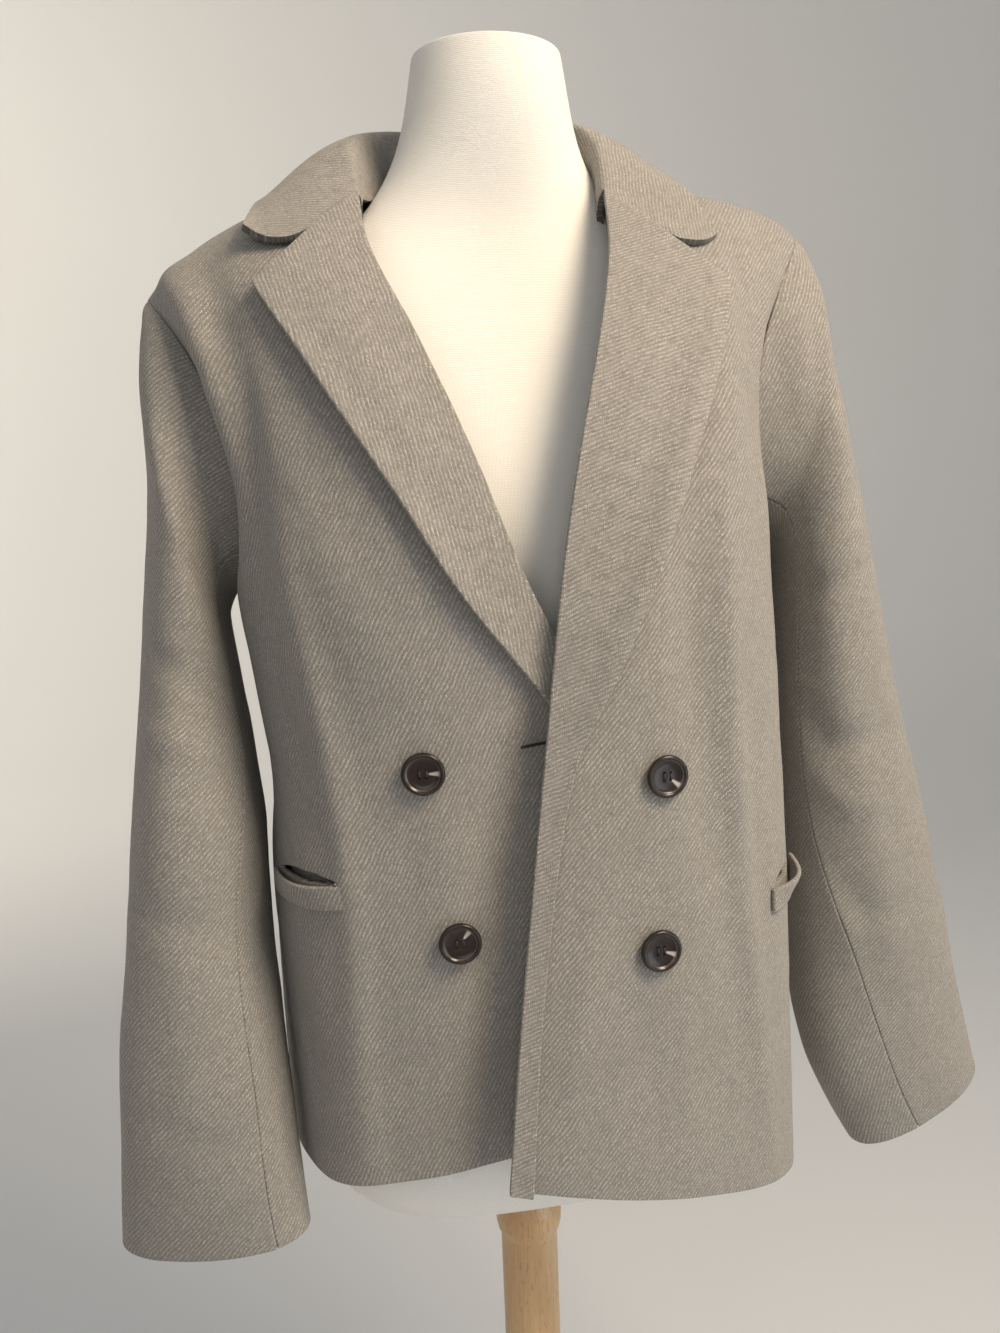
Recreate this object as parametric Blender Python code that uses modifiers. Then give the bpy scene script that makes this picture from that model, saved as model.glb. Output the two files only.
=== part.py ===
"""A short double-breasted tweed coat, worn open on a limbless dress form with a turned wood stand.

Metres, +Z up. The origin is the middle of the foot of the stand, on the floor. The coat's front
faces -Y, the wearer's right is at -X and the wearer's left, which laps over it, at +X. Sizes in the
tables are millimetres. Every piece of cloth is a sheet laid through its own table of sections, and
what lies on a panel is laid through that panel's points, moved out.
"""
import math
from bisect import bisect_right

import bmesh
import bpy
from mathutils import Matrix, Vector
from mathutils.bvhtree import BVHTree

MM = 0.001
CLOTH = 0.003            # one wall of the heavy tweed
TURNED = 0.0048          # a turned, pressed double layer: lapel and collar
SEAM = 0.0003            # half of the gap that is left along a seam
LAID = 0.0005            # the gap under a piece that lies on a panel
SHOULDER_GAP = 0.0012    # what each panel is drawn back by along the shoulder seams

UNDERARM_V = 0.60        # how far up a front, 0 at the hem and 1 at the shoulder seam, the side seam ends
FRONT_STEPS = (13, 26)   # faces across and along each panel
BACK_STEPS = (20, 26)
SLEEVE_STEPS = (9, 22)
LAPEL_STEPS = (7, 24)
COLLAR_STEPS = (6, 32)
STAND_STEPS = (2, 28)

BUTTON_RADIUS = 0.0134
BUTTON_HEIGHT = 0.0046
BUTTON_PROFILE = ((0.80, 0.0), (0.97, 0.35), (1.0, 0.62), (0.92, 1.0), (0.82, 1.0), (0.68, 0.62))
BUTTON_HOLE = 0.0011     # a hole's radius
HOLE_PLACE = 0.0021      # from the button's middle to a hole's, each way
BUTTON_SIDES, HOLE_SIDES = 18, 6


class Table:
    """Rows of sizes under named columns, read smoothly anywhere between two rows."""

    def __init__(self, columns, *rows):
        self.columns = columns.split()
        self.places = [row[0] for row in rows]
        self.rows = [[Vector(cell) if isinstance(cell, tuple) else cell for cell in row] for row in rows]

    def slope(self, index, column):
        """How fast a column changes at one row, from the rows on both sides of it."""
        low, high = max(index - 1, 0), min(index + 1, len(self.rows) - 1)
        rise = self.rows[high][column] - self.rows[low][column]
        return rise * (1.0 / (self.places[high] - self.places[low]))

    def at(self, place):
        """The columns after the first at a place, in their order."""
        low = max(0, min(len(self.rows) - 2, bisect_right(self.places, place) - 1))
        span = self.places[low + 1] - self.places[low]
        t = (place - self.places[low]) / span
        rise_in, rise_out = t * (t - 1) ** 2 * span, t * t * (t - 1) * span
        step = t * t * (3 - 2 * t)
        return [self.rows[low][k] * (1 - step) + self.rows[low + 1][k] * step
                + self.slope(low, k) * rise_in + self.slope(low + 1, k) * rise_out
                for k in range(1, len(self.columns))]


def bezier(a, b, c, d, t):
    return a * (1 - t) ** 3 + b * 3 * t * (1 - t) ** 2 + c * 3 * t * t * (1 - t) + d * t ** 3


def ease(t):
    t = max(0.0, min(1.0, t))
    return t * t * (3 - 2 * t)


# ---------------------------------------------------------------- armholes and side seams
# The shoulder of the wearer's right droops, because the coat has slipped that way on the form.
ARMHOLES = {
    "right": dict(tip=(-229, 12, 1350), underarm=(-180, 15, 1155), front=60, back=64, bow=(27, 12)),
    "left": dict(tip=(219, 10, 1389), underarm=(190, 15, 1180), front=60, back=64, bow=(38, 14)),
}
TO_MIDDLE = {"right": 1.0, "left": -1.0}


def armhole(side, degrees):
    """A point of the armhole: 0 is the shoulder tip, 90 its front, 180 the underarm, 270 its back."""
    hole = ARMHOLES[side]
    tip, underarm = Vector(hole["tip"]) * MM, Vector(hole["underarm"]) * MM
    angle = math.radians(degrees)
    depth, bow = (hole["front"], hole["bow"][0]) if math.sin(angle) > 0 else (hole["back"], hole["bow"][1])
    point = (tip + underarm) / 2 + (tip - underarm) / 2 * math.cos(angle)
    point.y -= depth * MM * math.sin(angle)
    point.x += TO_MIDDLE[side] * bow * MM * math.sin(angle) ** 2
    return point


SIDE_SEAMS = {
    "right": Table("v seam",
                   (0.00, (-174, 15, 762)), (0.18, (-175, 16, 876)), (0.32, (-175, 16, 972)),
                   (0.45, (-167, 16, 1055)), (0.60, (-180, 15, 1155))),
    "left": Table("v seam",
                  (0.00, (202, 18, 728)), (0.18, (202, 18, 856)), (0.32, (204, 18, 956)),
                  (0.45, (197, 18, 1060)), (0.60, (190, 15, 1180))),
}


def side_point(side, v):
    """The outer end of a front's row: on the side seam, or above it on the front of the armhole."""
    if v <= UNDERARM_V:
        return SIDE_SEAMS[side].at(v)[0] * MM
    return armhole(side, 180 * (1 - v) / (1 - UNDERARM_V))


# ---------------------------------------------------------------- fronts
# A row runs from the side seam or armhole, round a soft corner, to the front edge or roll line.
FRONTS = {
    "right": Table("v corner edge square",
                   (0.00, (-169, -148, 772), (2, -127, 797), 0.75),
                   (0.18, (-171, -149, 892), (10, -131, 897), 0.75),
                   (0.32, (-174, -150, 980), (18, -132, 983), 0.75),
                   (0.45, (-177, -151, 1062), (27, -132, 1066), 0.75),
                   (0.60, (-177, -150, 1164), (-19, -135, 1170), 0.74),
                   (0.70, (-175, -140, 1215), (-42, -122, 1236), 0.70),
                   (0.80, (-181, -118, 1280), (-69, -97, 1306), 0.68),
                   (0.90, (-184, -76, 1352), (-93, -58, 1368), 0.66),
                   (0.95, (-185, -36, 1393), (-94, -28, 1407), 0.62),
                   (1.00, (-188, 10, 1410), (-84, 6, 1420), 0.60)),
    "left": Table("v corner edge square",
                  (0.00, (192, -178, 738), (-38, -160, 789), 0.75),
                  (0.18, (184, -174, 864), (-26, -153, 890), 0.75),
                  (0.32, (176, -170, 962), (-14, -148, 980), 0.75),
                  (0.45, (172, -164, 1060), (-3, -146, 1066), 0.75),
                  (0.60, (170, -156, 1170), (11, -144, 1172), 0.74),
                  (0.70, (170, -138, 1232), (26, -132, 1240), 0.70),
                  (0.80, (168, -108, 1302), (46, -107, 1306), 0.68),
                  (0.90, (172, -66, 1374), (66, -66, 1369), 0.66),
                  (0.95, (182, -30, 1408), (72, -30, 1408), 0.62),
                  (1.00, (198, 8, 1420), (75, 6, 1421), 0.60)),
}

# Soft ridges and troughs in a front: each runs from (u, v) to (u, v), u from the side to the edge.
FOLDS = {
    "right": Table("place start end height width",
                   (0, (0.16, 0.96), (0.14, 0.52), 9, 0.10),
                   (1, (0.45, 0.02), (0.40, 0.40), 4, 0.10),
                   (2, (0.66, 0.00), (0.62, 0.22), -3, 0.07)),
    "left": Table("place start end height width",
                  (0, (0.30, 0.93), (0.22, 0.62), -6, 0.07),
                  (1, (0.42, 0.00), (0.42, 0.42), 4, 0.09),
                  (2, (0.66, 0.00), (0.60, 0.30), -3, 0.08)),
}


def front_row(side, v):
    """The four control points of a row across a front."""
    corner, edge, square = FRONTS[side].at(v)
    start, corner, edge = side_point(side, v), corner * MM, edge * MM
    return start, start.lerp(corner, square), edge.lerp(corner, square), edge


def fold_height(side, u, v):
    """How far the soft folds lift the cloth at a place of a front."""
    total = 0.0
    for _, start, end, height, width in FOLDS[side].rows:
        run = end - start
        t = ((u - start.x) * run.x + (v - start.y) * run.y) / run.length_squared
        nearest = start + run * max(0.0, min(1.0, t))
        apart = math.hypot(u - nearest.x, v - nearest.y) / width
        total += height * MM * math.exp(-apart * apart)
    return total


def front(side, u, v, out=0.0):
    """A point of a front, u from side (0) to edge (1), v from hem (0) to shoulder (1), moved out."""
    here = bezier(*front_row(side, v), u)
    step = 0.004
    across = bezier(*front_row(side, v), u + step) - bezier(*front_row(side, v), u - step)
    along = bezier(*front_row(side, v + step), u) - bezier(*front_row(side, v - step), u)
    normal = across.cross(along).normalized() * TO_MIDDLE[side]
    edge_fade = ease(min(u, 1 - u) / 0.13) * ease((1 - v) / 0.05)
    return here + normal * (out + fold_height(side, u, v) * edge_fade)


def from_edge(side, v, distance, out=0.0):
    """A point of a front at a distance from its edge, measured along the row."""
    low, high = 0.0, 1.0
    row = front_row(side, v)
    for _ in range(14):
        u = (low + high) / 2
        length = sum((bezier(*row, u + (1 - u) * (k + 1) / 8) - bezier(*row, u + (1 - u) * k / 8)).length
                     for k in range(8))
        low, high = (u, high) if length > distance else (low, u)
    return front(side, low, v, out)


# ---------------------------------------------------------------- back
BACK_ROWS = Table("v right_corner left_corner middle",
                  (0.00, (-174, 130, 752), (202, 130, 736), (12, 134, 742)),
                  (0.20, (-174, 124, 870), (202, 124, 862), (10, 126, 864)),
                  (0.40, (-166, 116, 1000), (198, 116, 990), (8, 116, 994)),
                  (0.60, (-178, 128, 1155), (190, 128, 1180), (3, 130, 1166)))
NECK_POINT_U = 0.46      # where the back's top row passes from shoulder seam to neck
BACK_NECK = Vector((-6, 58, 1420)) * MM
BLADE_RISE = 0.14        # how strongly the upper back rounds over the shoulder blades


def lower_back(u, v):
    """A row of the back below the underarms, u from -1 (wearer's right) to 1."""
    right_corner, left_corner, middle = (cell * MM for cell in BACK_ROWS.at(v))
    side, corner = ("right", right_corner) if u < 0 else ("left", left_corner)
    seam = SIDE_SEAMS[side].at(v)[0] * MM
    return bezier(middle, middle.lerp(corner, 0.7), seam.lerp(corner, 0.7), seam, abs(u))


def back_top(u):
    """The top of the back: a shoulder seam from each tip, and the neck between them."""
    side = "right" if u < 0 else "left"
    if abs(u) >= NECK_POINT_U:
        return bezier(*front_row(side, 1.0), (1 - abs(u)) / (1 - NECK_POINT_U))
    neck_point = front_row(side, 1.0)[3]
    pull = Vector((neck_point.x * 0.95, BACK_NECK.y, (neck_point.z + BACK_NECK.z) / 2))
    return bezier(BACK_NECK, BACK_NECK.lerp(pull, 0.6), neck_point.lerp(pull, 0.6), neck_point,
                  abs(u) / NECK_POINT_U)


def back(u, v, out=0.0):
    """A point of the back, u from -1 to 1, v from hem (0) to shoulder and neck (1)."""
    if v <= UNDERARM_V:
        return lower_back(u, v)
    t = (v - UNDERARM_V) / (1 - UNDERARM_V)
    side = "right" if u < 0 else "left"
    bottom, top = lower_back(u, UNDERARM_V), back_top(u)
    edge = 1.0 if u >= 0 else -1.0
    ruled_side = lower_back(edge, UNDERARM_V).lerp(back_top(edge), t)
    point = bottom.lerp(top, t) + (armhole(side, 180 + 180 * t) - ruled_side) * abs(u) ** 3
    spread = (0.35 + 0.65 * ease(abs(u) / 0.5)) * (1 - abs(u) ** 4)
    point.y += BLADE_RISE * t * math.sqrt(1 - t) * spread
    return point


# ---------------------------------------------------------------- lapels
# width is measured from the roll line along the front's rows; drop moves the outer edge down them.
LAPELS = {
    "right": Table("place v width drop",
                   (0.00, 0.440, 9, 0.000), (0.14, 0.520, 26, 0.000), (0.30, 0.600, 39, 0.002),
                   (0.50, 0.700, 50, 0.004), (0.68, 0.795, 60, 0.010), (0.84, 0.875, 66, 0.022),
                   (1.00, 0.944, 69, 0.058)),
    "left": Table("place v width drop",
                  (0.00, 0.000, 11, 0.000), (0.22, 0.220, 9, 0.000), (0.40, 0.430, 14, 0.000),
                  (0.52, 0.520, 36, 0.004), (0.64, 0.610, 54, 0.006), (0.76, 0.710, 66, 0.010),
                  (0.88, 0.820, 74, 0.026), (1.00, 0.944, 75, 0.088)),
}
LAPEL_ROLL = 0.0030      # how far the roll stands past the front's own edge
LAPEL_LIFT = 0.0035      # how far the lapel's outer edge springs off the front
ROLL_SHARE = 0.04        # the share of a lapel's row that is its roll


def lapel(side, u, v):
    """A point of a lapel's middle layer, u from roll (0) to outer edge (1), v from its foot to the gorge."""
    height, width, drop = LAPELS[side].at(v)
    place = height - drop * u
    lift = CLOTH / 2 + LAID * 2 + TURNED / 2 + LAPEL_LIFT * u * u * min(1.0, width / 50)
    if u < ROLL_SHARE:
        edge, inner = front(side, 1.0, place, lift), front(side, 0.985, place, lift)
        return edge + (edge - inner).normalized() * LAPEL_ROLL
    return from_edge(side, place, width * MM * (u - ROLL_SHARE) / (1 - ROLL_SHARE), lift)


# ---------------------------------------------------------------- collar
# fold is the top of the stand, middle and edge are the fall's; the rows go round from the
# wearer's right gorge (-1) by the middle of the back (0) to the wearer's left gorge (1).
COLLAR = Table("place fold middle edge",
               (-1.00, (-93, -32, 1417), (-129, -49, 1386), (-160, -49, 1388)),
               (-0.86, (-94, -18, 1431), (-127, -24, 1411), (-154, -18, 1402)),
               (-0.66, (-90, 8, 1450), (-120, 10, 1437), (-141, 12, 1412)),
               (-0.36, (-68, 50, 1468), (-90, 58, 1448), (-108, 60, 1406)),
               (0.00, (-6, 68, 1474), (-4, 84, 1452), (-2, 88, 1400)),
               (0.36, (54, 50, 1476), (74, 58, 1454), (90, 60, 1412)),
               (0.66, (69, 14, 1461), (96, 14, 1449), (119, 14, 1428)),
               (0.86, (74, -14, 1438), (102, -20, 1418), (126, -21, 1405)),
               (1.00, (75, -33, 1419), (108, -50, 1382), (134, -49, 1380)))
COLLAR_EASE = 12         # rounds in which the collar's lift off the coat is spread
STAND_REACH = 0.86       # the stand stops just short of the gorge on each side
STAND_FEET = Table("place foot",
                   (-0.86, (-89, -14, 1421)), (-0.66, (-81, 8, 1426)), (-0.36, (-58, 44, 1427)),
                   (0.00, (-6, 54, 1426)), (0.36, (50, 44, 1428)), (0.66, (72.4, 8, 1427)),
                   (0.86, (74, -14, 1424)))


def collar(u, v):
    """A point of the fall's middle layer, u from fold (0) to edge (1), v round the neck."""
    fold, middle, edge = (cell * MM for cell in COLLAR.at(2 * v - 1))
    pull = middle * 2 - (fold + edge) / 2
    return fold * (1 - u) ** 2 + pull * 2 * u * (1 - u) + edge * u * u


def collar_stand(u, v):
    """A point of the stand's middle layer, u from its foot (0) to just under the fold (1)."""
    place = (2 * v - 1) * STAND_REACH
    foot, fold = STAND_FEET.at(place)[0] * MM, COLLAR.at(place)[0] * MM
    fold.z -= TURNED / 2 + CLOTH / 2 + LAID
    return foot.lerp(fold, u)


# ---------------------------------------------------------------- sleeves
# Each ring goes through an outer and an inner point; depth is half its size from front to back,
# and seam the place of the front seam in degrees, from the outer point (0) by the front (90).
SLEEVES = {
    "right": Table("place outer inner depth seam",
                   (0.10, (-234, 10, 1331), (-190, 15, 1151), 62, 132),
                   (0.19, (-238, 6, 1296), (-195, 12, 1136), 68, 134),
                   (0.30, (-236, 1, 1245), (-190, 10, 1095), 72, 136),
                   (0.42, (-246, -4, 1160), (-183, 0, 1040), 70, 138),
                   (0.56, (-257, -16, 1042), (-179, -32, 990), 62, 139),
                   (0.70, (-270, -28, 924), (-180, -52, 908), 55, 139),
                   (0.82, (-280, -35, 842), (-174, -66, 836), 48, 139),
                   (0.92, (-288, -40, 768), (-171, -78, 774), 40, 139),
                   (1.00, (-293, -42, 718), (-167, -88, 735), 30, 139)),
    "left": Table("place outer inner depth seam",
                  (0.10, (230, 10, 1362), (199, 15, 1176), 62, 138),
                  (0.19, (234, 8, 1318), (205, 15, 1160), 67, 140),
                  (0.30, (247, 6, 1260), (208, 16, 1115), 71, 143),
                  (0.42, (275, 4, 1158), (210, 18, 1042), 68, 144),
                  (0.56, (309, 4, 1028), (216, 20, 958), 61, 136),
                  (0.70, (335, 2, 921), (220, 14, 866), 53, 115),
                  (0.82, (355, 0, 833), (227, 4, 786), 45, 105),
                  (0.92, (369, -3, 767), (246, -4, 726), 38, 102),
                  (1.00, (376, -5, 738), (269, -8, 684), 32, 101)),
}
CREASES = {
    "right": Table("place along around height width",
                   (0, 0.36, 60, -3, 0.05), (1, 0.55, 100, 4, 0.06), (2, 0.64, 150, -4, 0.05),
                   (3, 0.80, 40, 3, 0.07)),
    "left": Table("place along around height width",
                  (0, 0.30, 60, 3, 0.06), (1, 0.50, 40, -3, 0.06), (2, 0.66, 110, 4, 0.06),
                  (3, 0.84, 60, -3, 0.06)),
}
SLEEVE_SEAM = (0.0009, 0.0006)   # half of the gap between a sleeve's two pieces: at its cap, below
CAP_ROWS = 11            # rows over which a sleeve eases away from the body under its cap
BACK_SEAM = 165          # degrees from the front seam, over the outer point, to the back seam


def ring_point(side, row, degrees):
    """A point of the ring through one row of a sleeve's table."""
    outer, inner, depth, _ = row
    half, angle = (outer - inner) * MM / 2, math.radians(degrees)
    forward = Vector((0, -1, 0)) - half * (half.dot(Vector((0, -1, 0))) / half.length_squared)
    forward.normalize()
    bend = 2 / 2.25
    cosine, sine = math.cos(angle), math.sin(angle)
    cosine = math.copysign(abs(cosine) ** bend, cosine)
    sine = math.copysign(abs(sine) ** bend, sine)
    return (outer + inner) * MM / 2 + half * cosine + forward * depth * MM * sine


def sleeve(side, degrees, v):
    """A point of a sleeve: degrees round it as in its table, v from the armhole (0) to the cuff (1)."""
    table = SLEEVES[side]
    first = table.places[0]
    away = Vector((-TO_MIDDLE[side], 0, 0))
    if v < first:
        spread = 0.35 + 0.75 * math.sin(math.radians(degrees / 2))
        start = armhole(side, degrees) + away * (SEAM + CLOTH * spread)
        end, beyond = (ring_point(side, table.at(first + step), degrees) for step in (0.0, 0.01))
        rise = (beyond - end) * (first / 0.01)
        t = v / first
        return (start * (1 - ease(t)) + end * ease(t) + away * 0.012 * t * (1 - t) ** 2
                + rise * t * t * (t - 1))
    point = ring_point(side, table.at(v), degrees)
    middle = (table.at(v)[0] + table.at(v)[1]) * MM / 2
    lift = sum(height * MM * math.exp(-((v - along) / width) ** 2 - ((degrees - around) / 45) ** 2)
               for _, along, around, height, width in CREASES[side].rows)
    return point + (point - middle).normalized() * lift


def seam_angle(side, v):
    table = SLEEVES[side]
    return table.at(max(v, table.places[0]))[3]


def sleeve_half(side, which, u, v):
    """The upper piece goes over the outer point, the under piece round the inner one."""
    seam = seam_angle(side, v)
    if which == "upper":
        return sleeve(side, seam - BACK_SEAM * u, v)
    return sleeve(side, seam + (360 - BACK_SEAM) * u, v)


# ---------------------------------------------------------------- dress form and stand
FORM = Table("z wide front back middle square",
             (713, 128, 80, 74, 0, 2.9), (722, 146, 95, 90, 0, 2.9), (745, 158, 103, 100, 0, 2.8),
             (800, 160, 106, 104, 0, 2.5), (880, 150, 99, 98, 0, 2.3), (975, 124, 86, 82, 0, 2.2),
             (1060, 134, 96, 84, 0, 2.2), (1150, 150, 112, 92, 0, 2.3), (1230, 156, 100, 96, 0, 2.3),
             (1300, 156, 72, 88, 0, 2.3), (1350, 146, 48, 68, 0, 2.3), (1382, 110, 38, 52, 3, 2.2),
             (1405, 81, 36, 44, 5, 2.1), (1425, 70.4, 42, 45, 5, 2.0), (1448, 60, 47, 47, 4, 2.0),
             (1470, 55, 50, 49, 2, 2.0), (1490, 52, 50, 49, 0, 2.0), (1500, 50, 48, 47, 0, 2.0))
FORM_FOOT, FORM_TOP = FORM.places[0], FORM.places[-1]
FORM_SIDES, FORM_ROWS = 28, 30
POST_SIDES, BASE_SIDES = 24, 40
POST_PROFILE = Table("z radius",
                     (30, 32), (44, 26), (70, 22), (641, 22), (646, 24), (652, 25.4), (657, 25.7),
                     (662, 25.4), (668, 24), (672, 22), (712.7, 22))
BASE_PROFILE = Table("z radius", (0, 170), (6, 170), (14, 164), (20, 120), (29.7, 34))


def form_point(u, v):
    """A point of the form's jersey, u round it and v from its underside to the neck's rim."""
    z = FORM_FOOT + (FORM_TOP - FORM_FOOT) * v
    wide, deep_front, deep_back, middle, square = FORM.at(z)
    angle = 2 * math.pi * u
    deep = deep_front if math.sin(angle) < 0 else deep_back
    bend = 2 / square
    cosine, sine = math.cos(angle), math.sin(angle)
    x = wide * math.copysign(abs(cosine) ** bend, cosine)
    y = middle + deep * math.copysign(abs(sine) ** bend, sine)
    return Vector((x, y, z)) * MM


# ---------------------------------------------------------------- cloth resting on cloth
def grid_points(place, steps):
    across, along = steps
    return [[place(column / across, row / along) for column in range(across + 1)]
            for row in range(along + 1)]


def surface_tree(grids):
    """Grids of points as one searchable surface, with its normals out of the coat."""
    points, faces = [], []
    for grid, flip in grids:
        columns, first = len(grid[0]), len(points)
        points += [point for row in grid for point in row]
        for row in range(len(grid) - 1):
            for column in range(columns - 1):
                a = first + row * columns + column
                face = (a, a + 1, a + 1 + columns, a + columns)
                faces.append(face[::-1] if flip else face)
    return BVHTree.FromPolygons(points, faces)


def rest_on(point, surface, clearance):
    """Move a point out until it is clear of a surface that it would sink into, but not past its edge."""
    for _ in range(2):
        touched, normal, _, distance = surface.find_nearest(point, 0.03)
        if touched is None:
            break
        height = (point - touched).dot(normal)
        if height >= clearance or distance > abs(height) * 1.4 + 0.0005:
            break
        point = point + normal * (clearance - height)
    return point


def settle(grid, surface, clearance, rounds):
    """Lift a grid of points clear of a surface, and ease the lift out into the points round it."""
    needed = [[rest_on(point, surface, clearance) - point for point in row] for row in grid]
    lift = needed
    rows, columns = len(grid), len(grid[0])
    for _ in range(rounds):
        eased = []
        for r in range(rows):
            eased.append([])
            for c in range(columns):
                beside = [lift[max(r - 1, 0)][c], lift[min(r + 1, rows - 1)][c],
                          lift[r][max(c - 1, 0)], lift[r][min(c + 1, columns - 1)]]
                spread = sum(beside, Vector((0, 0, 0))) / 4
                eased[r].append(needed[r][c] if needed[r][c].length > spread.length else spread)
        lift = eased
    return [[grid[r][c] + lift[r][c] for c in range(columns)] for r in range(rows)]


# ---------------------------------------------------------------- making the objects
def material(name, colour, roughness, metallic=0.0):
    made = bpy.data.materials.new(name)
    made.use_nodes = True
    shader = made.node_tree.nodes["Principled BSDF"]
    shader.inputs["Base Color"].default_value = (*colour, 1.0)
    shader.inputs["Roughness"].default_value = roughness
    shader.inputs["Metallic"].default_value = metallic
    made.diffuse_color = (*colour, 1.0)
    return made


def add_object(name, mesh, finish, collection, smooth=60):
    mesh.materials.append(finish)
    mesh.shade_smooth()
    mesh.set_sharp_from_angle(angle=math.radians(smooth))
    made = bpy.data.objects.new(name, mesh)
    collection.objects.link(made)
    return made


def set_back(grid, edge, distance):
    """Draw one edge of a grid back along the cloth by a seam's gap, or by one that eases to another."""
    columns, rows = len(grid[0]), len(grid)
    if edge in ("low v", "high v"):
        row, inner = (0, 1) if edge == "low v" else (rows - 1, rows - 2)
        pairs = [((row, k), (inner, k)) for k in range(columns)]
    else:
        column, inner = (0, 1) if edge == "low u" else (columns - 1, columns - 2)
        pairs = [((k, column), (k, inner)) for k in range(rows)]
    first, last = (distance, distance) if isinstance(distance, float) else distance
    for (row, column), (inner_row, inner_column) in pairs:
        here, inside = grid[row][column], grid[inner_row][inner_column]
        gap = first + (last - first) * ease(3 * row / rows)
        grid[row][column] = here + (inside - here).normalized() * gap


def sheet(name, grid, wall, finish, collection, backs=None, flip=False):
    """A cut piece of cloth: a grid of points, drawn back at its seams and given its wall."""
    across, along = len(grid[0]) - 1, len(grid) - 1
    for edge, distance in (backs or {}).items():
        set_back(grid, edge, distance)
    cloth = bmesh.new()
    bmesh.ops.create_grid(cloth, x_segments=across, y_segments=along, size=0.5)
    for vertex in cloth.verts:
        column, row = round((vertex.co.x + 0.5) * across), round((vertex.co.y + 0.5) * along)
        vertex.co = grid[row][column]
    if flip:
        bmesh.ops.reverse_faces(cloth, faces=cloth.faces)
    mesh = bpy.data.meshes.new(name)
    cloth.to_mesh(mesh)
    cloth.free()
    made = add_object(name, mesh, finish, collection)
    thicken = made.modifiers.new("wall", "SOLIDIFY")
    thicken.thickness = wall
    thicken.offset = 0.0
    return made


def turned(name, profile, segments, finish, collection):
    """A solid turned about the Z axis: its profile is spun, closed at the axis, with Screw."""
    outline = bmesh.new()
    points = [Vector((0, 0, profile[-1][1]))] + [Vector((r, 0, z)) for r, z in reversed(profile)]
    points.append(Vector((0, 0, profile[0][1])))
    corners = [outline.verts.new(point) for point in points]
    for first, second in zip(corners, corners[1:]):
        outline.edges.new((first, second))
    mesh = bpy.data.meshes.new(name)
    outline.to_mesh(mesh)
    outline.free()
    made = add_object(name, mesh, finish, collection, smooth=35)
    spin = made.modifiers.new("turning", "SCREW")
    spin.steps = spin.render_steps = segments
    spin.use_merge_vertices = True
    spin.merge_threshold = 0.00005
    return made


def closed_loft(name, place, around, along, finish, collection):
    """A solid lofted through closed rings, with a flat face over each end."""
    solid = bmesh.new()
    rings = []
    for row in range(along + 1):
        rings.append([solid.verts.new(place(k / around, row / along)) for k in range(around)])
    for low, high in zip(rings, rings[1:]):
        for k in range(around):
            after = (k + 1) % around
            solid.faces.new((low[k], low[after], high[after], high[k]))
    solid.faces.new(list(reversed(rings[0])))
    solid.faces.new(rings[-1])
    mesh = bpy.data.meshes.new(name)
    solid.to_mesh(mesh)
    solid.free()
    return add_object(name, mesh, finish, collection)


def cut(target, cutter):
    slot = target.modifiers.new("cut by " + cutter.name, "BOOLEAN")
    slot.operation = "DIFFERENCE"
    slot.solver = "EXACT"
    slot.object = cutter
    cutter.hide_render = True
    cutter.display_type = "WIRE"


# ---------------------------------------------------------------- pockets and buttons
# The mouth of each side pocket runs along a front, from the side (low u) towards the edge.
POCKETS = {
    "right": dict(start=(0.19, 0.318), end=(0.53, 0.324), mouth=9, welt=15, gape=5),
    "left": dict(start=(0.27, 0.318), end=(0.48, 0.304), mouth=9, welt=15, gape=7),
}
POCKET_STEPS = (8, 3)
BAG_DEPTH = 0.0075       # from the front's middle layer to the bag's behind the mouth
BAG_SEAT = 0.0038        # and along the bag's top, where it is sewn to the front
BAG_LOW, BAG_TALL = -0.030, 0.052   # the bag's lower end under the mouth, and its height
IN_FROM_ENDS = dict(slot=0.05, bag=0.02)   # how far in from the mouth's ends each starts
BUTTONS = (("button_1", "right", 0.435, 107), ("button_2", "right", 0.262, 76),
           ("button_3", "left", 0.422, 73), ("button_4", "left", 0.263, 80))


def pocket_point(side, u, height, out):
    """A point on a pocket's line, u along the mouth and height (in metres) above its lower lip."""
    pocket = POCKETS[side]
    start, end = Vector(pocket["start"]), Vector(pocket["end"])
    place = start.lerp(end, u)
    rise = (front(side, place.x, place.y + 0.01) - front(side, place.x, place.y)).length / 0.01
    return front(side, place.x, place.y + height / rise, out)


def between_ends(piece, u):
    """A place along the mouth for a piece that starts in from its ends."""
    return IN_FROM_ENDS[piece] + (1 - 2 * IN_FROM_ENDS[piece]) * u


def add_pocket(side, front_object, finish, collection, cutters):
    pocket = POCKETS[side]
    mouth, welt, gape = (pocket[key] * MM for key in ("mouth", "welt", "gape"))
    flip = side == "left"

    def slot_point(u, v):
        opened = mouth * v * (0.35 + 0.65 * math.sin(math.pi * u))
        return pocket_point(side, between_ends("slot", u), opened, 0)

    slot = grid_points(slot_point, (POCKET_STEPS[0], 2))
    cutter = sheet("slot_" + side, slot, CLOTH * 4, finish, cutters, flip=flip)
    cut(front_object, cutter)

    def welt_point(u, v):
        lean = gape * ease(v) * math.sin(math.pi * u)
        return pocket_point(side, u, welt * (v - 1), CLOTH + LAID + lean)

    def bag_point(u, v):
        depth = BAG_DEPTH + (BAG_SEAT - BAG_DEPTH) * ease((v - 0.6) / 0.4)
        return pocket_point(side, between_ends("bag", u), BAG_LOW + BAG_TALL * v, -depth)

    sheet("pocket_welt_" + side, grid_points(welt_point, POCKET_STEPS), CLOTH, finish, collection, flip=flip)
    sheet("pocket_bag_" + side, grid_points(bag_point, POCKET_STEPS), CLOTH / 2, finish, collection,
          flip=flip)


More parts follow.
